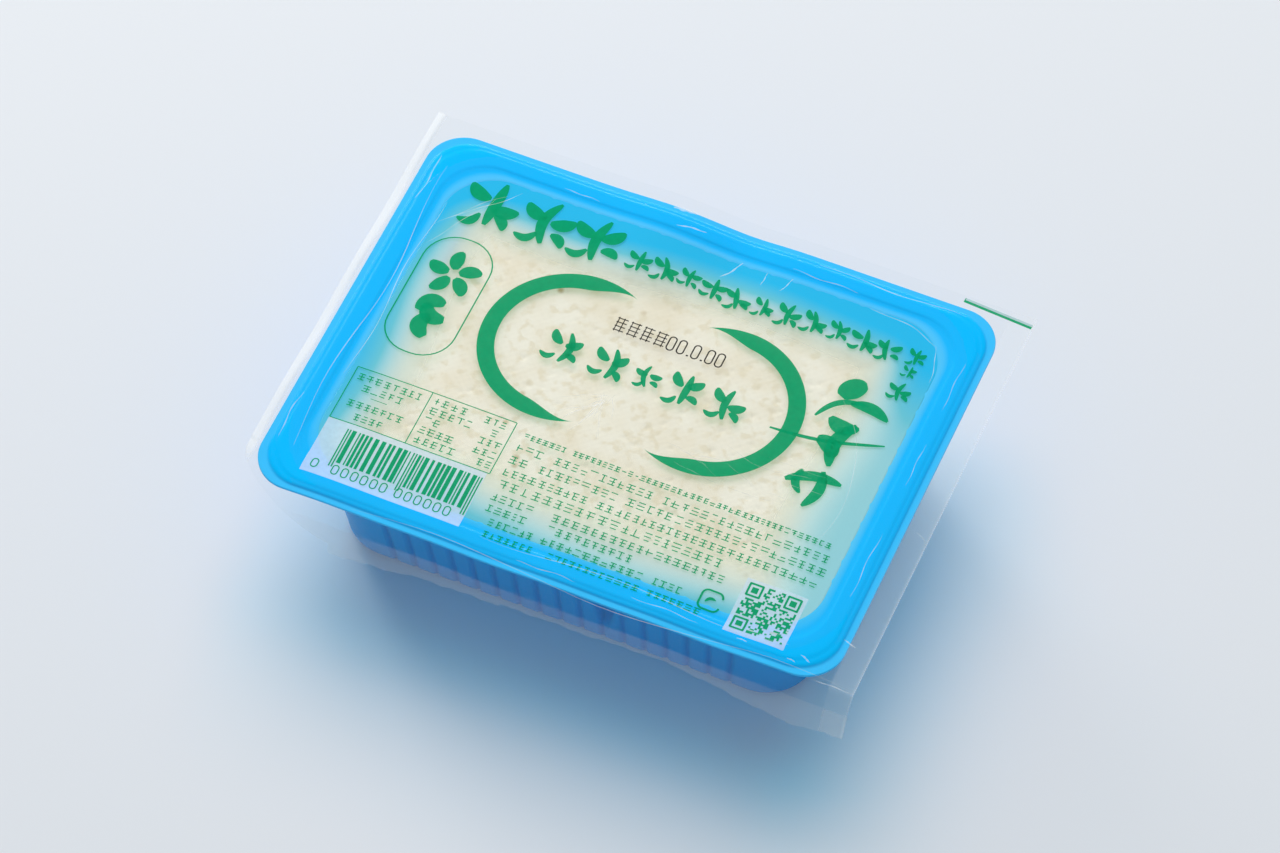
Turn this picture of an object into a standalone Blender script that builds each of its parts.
"""A firm tofu block sealed in its water, in a thermoformed tray under a clear lidding film.

Four pieces, from the table up: the thin tray with fluted walls and a wide sealing flange, the
tofu block, the packing water that fills the rest of the tray, and the lidding film.

Frame: metres, +Z up. The origin is the centre of the tray's flat base, on the table. +X runs
along the tray's long side, and -Y is the front, the side that the film folds down over.
"""
import math

import bpy
import numpy as np

MM = 0.001

# Tray: the outer outline of the flange, the opening and the flat-bottomed well.
TRAY_HEIGHT = 40.0 * MM
SHEET = 0.5 * MM  # wall thickness of the formed sheet
FLANGE_HALF = np.array([70.0, 52.8]) * MM
FLANGE_CORNER = 9.3 * MM
LAND_HALF = np.array([60.9, 44.6]) * MM  # where the flat sealing land starts
WELL_TOP_HALF = np.array([59.5, 43.2]) * MM
WELL_CORNER = 12.0 * MM
WELL_BASE_HALF = np.array([57.3, 38.9]) * MM
BASE_FILLET = 4.0 * MM
RIB_HEIGHT = 0.25 * MM  # the seal rib stands this proud of the land
LIP_DROP = 0.8 * MM  # the flange's outer lip lies this far below the land
FLUTES_LONG = 18
FLUTES_SHORT = 12
GROOVE_SHARE = 0.34  # of the flute pitch
GROOVE_DEPTH = 0.7 * MM

# The half-round notch pressed into the front wall, which tapers to a point.
NOTCH_X = 11.4 * MM
NOTCH_TOP = 24.0 * MM
NOTCH_TIP = 10.0 * MM
NOTCH_HALF_WIDTH = 3.6 * MM
NOTCH_DEPTH = 1.2 * MM

# Tofu: a cut block, a little narrower at the base, pressed towards the front left.
GAP = 0.3 * MM  # between pieces that touch
TOFU_HEIGHT = 37.9 * MM
TOFU_TOP_HALF = np.array([53.8, 38.3]) * MM
TOFU_TOP_SHIFT = np.array([-1.3, -1.8]) * MM
TOFU_BASE_HALF = np.array([52.6, 34.9]) * MM
TOFU_BASE_SHIFT = np.array([-0.7, -0.6]) * MM
TOFU_CORNER = 6.0 * MM
TOFU_EDGE = 4.0 * MM
WATER_START = 3  # the water's pocket opens at this ring of the block, above its lower edge

# Film: a flat lid with loose margins, and a skirt folded down over the front edge.
FILM = 0.4 * MM
FILM_LEFT = -72.7 * MM
FILM_RIGHT = 75.7 * MM
FILM_BACK = 56.2 * MM
FOLD_RADIUS = 0.7 * MM
FOLD_SLOPE = math.radians(50)  # the skirt slopes down like this to its crease ...
HEM_SLOPE = math.radians(66)  # ... and like this from there to its hem
CREASE_AT = 4.6 * MM  # along the sheet from the fold
SKIRT_SHORTEST = 8.3 * MM  # from fold to hem, near the middle
SKIRT_LONGEST = 11.2 * MM  # ... and near its ends
CUT_START = -46.0 * MM  # the film's front left corner is cut round from here
CUT_REACH = 26.0 * MM
CUT_DEPTH = 16.0 * MM
CUT_POWER = 1.45

CORNER_STEPS = 10


def flute_stations(flutes):
    """Fractions along a fluted side, three for each flute, and 1 where a groove is deepest."""
    fractions = []
    deep = []
    pitch = 1.0 / (flutes - GROOVE_SHARE)
    for flute in range(flutes):
        start = flute * pitch
        rib_end = start + (1.0 - GROOVE_SHARE) * pitch
        fractions += [start, rib_end]
        deep += [0.0, 0.0]
        if flute < flutes - 1:
            fractions.append(rib_end + 0.5 * GROOVE_SHARE * pitch)
            deep.append(1.0)
    return np.array(fractions), np.array(deep)


def side_stations(turn, run, groove):
    """Places along one straight side, from -run to run, and how far each goes in."""
    if groove is None:
        along = np.linspace(-run, run, 4)
        inwards = np.zeros(4)
    else:
        fractions, deep = flute_stations(FLUTES_LONG if turn % 2 == 0 else FLUTES_SHORT)
        along = run * (2 * fractions - 1)
        inwards = groove * deep
    if turn == 0:  # the front side has more points where the notch is
        notch = NOTCH_X + NOTCH_HALF_WIDTH * np.array([-1.2, -0.85, -0.35, 0.35, 0.85, 1.2])
        merged = np.union1d(along, notch)
        inwards = np.interp(merged, along, inwards)
        along = merged
    return along, inwards


def ring(half, corner, height, shift=(0.0, 0.0), groove=None):
    """A rounded rectangle, counter-clockwise from the front side's left end.

    With groove, the straight sides carry flutes whose grooves go in by that much.
    """
    points = []
    for turn in range(4):
        reach, out = half if turn % 2 == 0 else half[::-1]
        run = reach - corner
        along, inwards = side_stations(turn, run, groove)
        straight = np.column_stack([along, inwards - out])
        sweep = np.radians(np.linspace(-90, 0, CORNER_STEPS + 1)[1:-1])
        arc = np.column_stack([run + corner * np.cos(sweep), corner * (1 + np.sin(sweep)) - out])
        side = np.vstack([straight, arc])
        for _ in range(turn):
            side = np.column_stack([-side[:, 1], side[:, 0]])
        points.append(side)
    flat = np.vstack(points) + np.asarray(shift)
    return np.column_stack([flat, np.full(len(flat), height)])


def zip_faces(low, high, low_points, high_points):
    """Triangles between two rings whose point counts differ, matched by their angle."""
    def turns(points):
        angles = np.unwrap(np.arctan2(points[:, 1], points[:, 0]))
        return np.append(angles, angles[0] + 2 * math.pi)

    low_turn, high_turn = turns(low_points), turns(high_points)
    faces = []
    i = j = 0
    while i < len(low) or j < len(high):
        step_low = j == len(high) or (i < len(low) and low_turn[i + 1] <= high_turn[j + 1])
        a, b = low[i % len(low)], high[j % len(high)]
        if step_low:
            i += 1
            faces.append((a, low[i % len(low)], b))
        else:
            j += 1
            faces.append((a, high[j % len(high)], b))
    return faces


def loft(rings):
    """A closed body through rings in order, each end capped, the first cap facing down."""
    vertices = []
    faces = []
    spans = []
    for points in rings:
        spans.append(range(len(vertices), len(vertices) + len(points)))
        vertices.extend(points.tolist())
    faces.append(tuple(reversed(spans[0])))
    for low, high, low_points, high_points in zip(spans, spans[1:], rings, rings[1:]):
        if len(low) != len(high):
            faces += zip_faces(low, high, low_points, high_points)
            continue
        for i in range(len(low)):
            j = (i + 1) % len(low)
            faces.append((low[i], low[j], high[j], high[i]))
    faces.append(tuple(spans[-1]))
    return vertices, faces


def add_piece(name, vertices, faces, colour, roughness, alpha=1.0):
    """One named object with its own Principled material, shaded smooth off its sharp edges."""
    mesh = bpy.data.meshes.new(name)
    mesh.from_pydata([tuple(v) for v in vertices], [], faces)
    mesh.validate()
    mesh.shade_smooth()
    mesh.set_sharp_from_angle(angle=math.radians(40))
    material = bpy.data.materials.new(name)
    material.use_nodes = True
    shader = material.node_tree.nodes["Principled BSDF"]
    shader.inputs["Base Color"].default_value = (*colour, 1.0)
    shader.inputs["Roughness"].default_value = roughness
    shader.inputs["Alpha"].default_value = alpha
    mesh.materials.append(material)
    piece = bpy.data.objects.new(name, mesh)
    bpy.context.scene.collection.objects.link(piece)
    return piece


def press_notch(points):
    """Pushes the front wall's points in where the notch is: round across, a taper downwards."""
    x, y, z = points.T
    rise = np.clip((z - NOTCH_TIP) / (NOTCH_TOP - NOTCH_TIP), 0.0, 1.0)
    width = NOTCH_HALF_WIDTH * np.sqrt(rise)
    across = np.clip(1.0 - ((x - NOTCH_X) / np.maximum(width, 1e-6)) ** 2, 0.0, 1.0)
    fade = np.clip((TRAY_HEIGHT - 4 * MM - z) / (6 * MM), 0.0, 1.0)
    depth = NOTCH_DEPTH * np.sqrt(across) * fade * (y < -WELL_BASE_HALF[1] / 2)
    return points + np.column_stack([0 * x, depth, 0 * x])


def fillet_ring(sweep, inwards, groove=None):
    """A ring of the curve between base and wall, set in from the outside; sweep 0 is the base."""
    fillet = BASE_FILLET - inwards
    inset = inwards + fillet * (1 - math.sin(sweep))
    height = BASE_FILLET - fillet * math.cos(sweep)
    return ring(WELL_BASE_HALF - inset, WELL_CORNER - inset, height, groove=groove)


def wall_rings(inwards, groove=None):
    """The well's sloping wall from the base fillet to the rim, set in from the outside."""
    rim = (LAND_HALF - WELL_TOP_HALF)[0]
    top = TRAY_HEIGHT - RIB_HEIGHT - rim
    rings = []
    for height in (BASE_FILLET, NOTCH_TIP + 5 * MM, NOTCH_TOP - 2 * MM, top):
        rise = (height - BASE_FILLET) / (top - BASE_FILLET)
        half = WELL_BASE_HALF - inwards + (WELL_TOP_HALF + SHEET - WELL_BASE_HALF) * rise
        depth = None if groove is None else groove * (1 - 0.3 * rise)
        rings.append(press_notch(ring(half, WELL_CORNER - inwards, height, groove=depth)))
    return rings


def well_rings(inwards):
    """One face of the formed well, from the base's flat out and up to the rim."""
    rings = [fillet_ring(0.0, inwards)]
    for sweep in np.radians([25, 50, 72]):
        rings.append(fillet_ring(sweep, inwards, GROOVE_DEPTH * math.sin(sweep)))
    return rings + wall_rings(inwards, GROOVE_DEPTH)


def flange_ring(share, height):
    """A ring of the flange, share of the way from the land's start (0) to the outer edge (1)."""
    half = LAND_HALF + (FLANGE_HALF - LAND_HALF) * share
    return ring(half, WELL_CORNER + (FLANGE_CORNER - WELL_CORNER) * share, height)


def tray():
    """The formed tray: the outside of the well, the flange's underside, its top, the inside."""
    land = TRAY_HEIGHT - RIB_HEIGHT
    lip = land - LIP_DROP
    rings = well_rings(0.0)
    rings.append(flange_ring(0.0, land - SHEET))
    rings.append(flange_ring(0.74, land - SHEET))
    rings.append(flange_ring(0.80, lip - SHEET))
    rings.append(flange_ring(1.0, lip - SHEET))
    rings.append(flange_ring(1.0, lip))
    rings.append(flange_ring(0.84, lip))
    rings.append(flange_ring(0.78, land))
    rings.append(flange_ring(0.62, TRAY_HEIGHT))
    rings.append(flange_ring(0.34, TRAY_HEIGHT))
    rings.append(flange_ring(0.24, land))
    rings.append(flange_ring(0.0, land))
    rings += reversed(well_rings(SHEET))
    vertices, faces = loft(rings)
    return add_piece("tray", vertices, faces, (0.0, 0.38, 0.80), 0.25)


def tofu_rings(grow, low, high):
    """The tofu block's outline between two heights, with rounded edges, grown all round."""
    rings = []
    edge = TOFU_EDGE + grow
    levels = [(low + edge * (1 - math.cos(s)), edge * (1 - math.sin(s)))
              for s in np.radians([0, 30, 60, 90])]
    levels += [(low + (high - low) * 0.5, 0.0)]
    levels += [(high - edge * (1 - math.cos(s)), edge * (1 - math.sin(s)))
               for s in np.radians([90, 60, 30, 0])]
    for height, inset in levels:
        rise = (height - low) / (high - low)
        half = TOFU_BASE_HALF + (TOFU_TOP_HALF - TOFU_BASE_HALF) * rise + grow
        shift = TOFU_BASE_SHIFT + (TOFU_TOP_SHIFT - TOFU_BASE_SHIFT) * rise
        rings.append(ring(half - inset, TOFU_CORNER + grow - inset, height, shift))
    return rings


def tofu_block():
    """The block, standing on the tray's floor."""
    low = SHEET + GAP
    vertices, faces = loft(tofu_rings(0.0, low, low + TOFU_HEIGHT))
    return add_piece("tofu_block", vertices, faces, (0.78, 0.74, 0.60), 0.45)


def packing_water():
    """The water: it fills the well round the block and covers it, so it is a cap with a pocket."""
    floor = SHEET + GAP
    inwards = SHEET + GROOVE_DEPTH + GAP
    pocket = tofu_rings(GAP, floor, floor + TOFU_HEIGHT + GAP)
    rings = list(reversed(pocket[WATER_START:]))
    rings.append(fillet_ring(math.radians(60), inwards))
    rings += wall_rings(inwards)
    surface = rings[-1].copy()
    surface[:, 2] = TRAY_HEIGHT - GAP
    rings.append(surface)
    vertices, faces = loft(rings)
    return add_piece("packing_water", vertices, faces, (0.30, 0.66, 0.78), 0.1, alpha=0.5)


def film_left(y):
    """The film's left edge at y on the flat sheet: straight, then a rounded cut at the front."""
    past = np.clip((CUT_START - y) / CUT_DEPTH, 0.0, 0.999)
    return FILM_LEFT + CUT_REACH * (1 - (1 - past ** CUT_POWER) ** (1 / CUT_POWER))


def film_surface():
    """The film's upper face as a grid: rows from the back edge to the skirt's hem."""
    lid = TRAY_HEIGHT + GAP + FILM
    fold_y = -FLANGE_HALF[1] - GAP
    columns = np.linspace(0.0, 1.0, 25)
    rows = []
    for y in (FILM_BACK, FLANGE_HALF[1] - 2 * MM, 0.0, -36 * MM, -44 * MM, -49 * MM, fold_y):
        x = film_left(y) + (FILM_RIGHT - film_left(y)) * columns
        rows.append(np.column_stack([x, np.full_like(x, y), np.full_like(x, lid)]))
    radius = FOLD_RADIUS + FILM
    arc = radius * FOLD_SLOPE
    for past in (arc / 3, arc * 2 / 3, arc, CREASE_AT, SKIRT_LONGEST):
        left = film_left(fold_y - past)
        x = left + (FILM_RIGHT - left) * columns
        hem = SKIRT_SHORTEST + 1.5 * MM * ((x - 3 * MM) / (42 * MM)) ** 2
        along = np.minimum(past, np.minimum(hem, SKIRT_LONGEST))
        turned = np.minimum(along, arc) / radius
        sloped = np.clip(along - arc, 0.0, CREASE_AT - arc)
        below = np.maximum(along - CREASE_AT, 0.0)
        out = radius * np.sin(turned) + sloped * math.cos(FOLD_SLOPE) + below * math.cos(HEM_SLOPE)
        down = radius * (1 - np.cos(turned)) + sloped * math.sin(FOLD_SLOPE)
        down += below * math.sin(HEM_SLOPE)
        rows.append(np.column_stack([x, fold_y - out, lid - down]))
    return np.array(rows)


def lid_film():
    """The film: its upper face, the same face set in by its thickness, and a rim between."""
    upper = film_surface()
    down_rows = np.gradient(upper, axis=0)
    along_columns = np.gradient(upper, axis=1)
    normals = np.cross(down_rows, along_columns)
    normals /= np.linalg.norm(normals, axis=2, keepdims=True)
    lower = upper - FILM * normals
    count_rows, count_columns = upper.shape[:2]
    vertices = np.vstack([upper.reshape(-1, 3), lower.reshape(-1, 3)])
    under = count_rows * count_columns
    faces = []
    for r in range(count_rows - 1):
        for c in range(count_columns - 1):
            a = r * count_columns + c
            quad = (a, a + count_columns, a + count_columns + 1, a + 1)
            faces.append(quad)
            faces.append(tuple(v + under for v in reversed(quad)))
    last = (count_rows - 1) * count_columns
    edge = list(range(count_columns))
    edge += [r * count_columns + count_columns - 1 for r in range(1, count_rows)]
    edge += [last + c for c in range(count_columns - 2, -1, -1)]
    edge += [r * count_columns for r in range(count_rows - 2, 0, -1)]
    for a, b in zip(edge, edge[1:] + edge[:1]):
        faces.append((a, b, b + under, a + under))
    return add_piece("lid_film", vertices, faces, (0.9, 0.95, 1.0), 0.08, alpha=0.2)


for old in list(bpy.data.objects):
    bpy.data.objects.remove(old)
tray()
tofu_block()
packing_water()
lid_film()
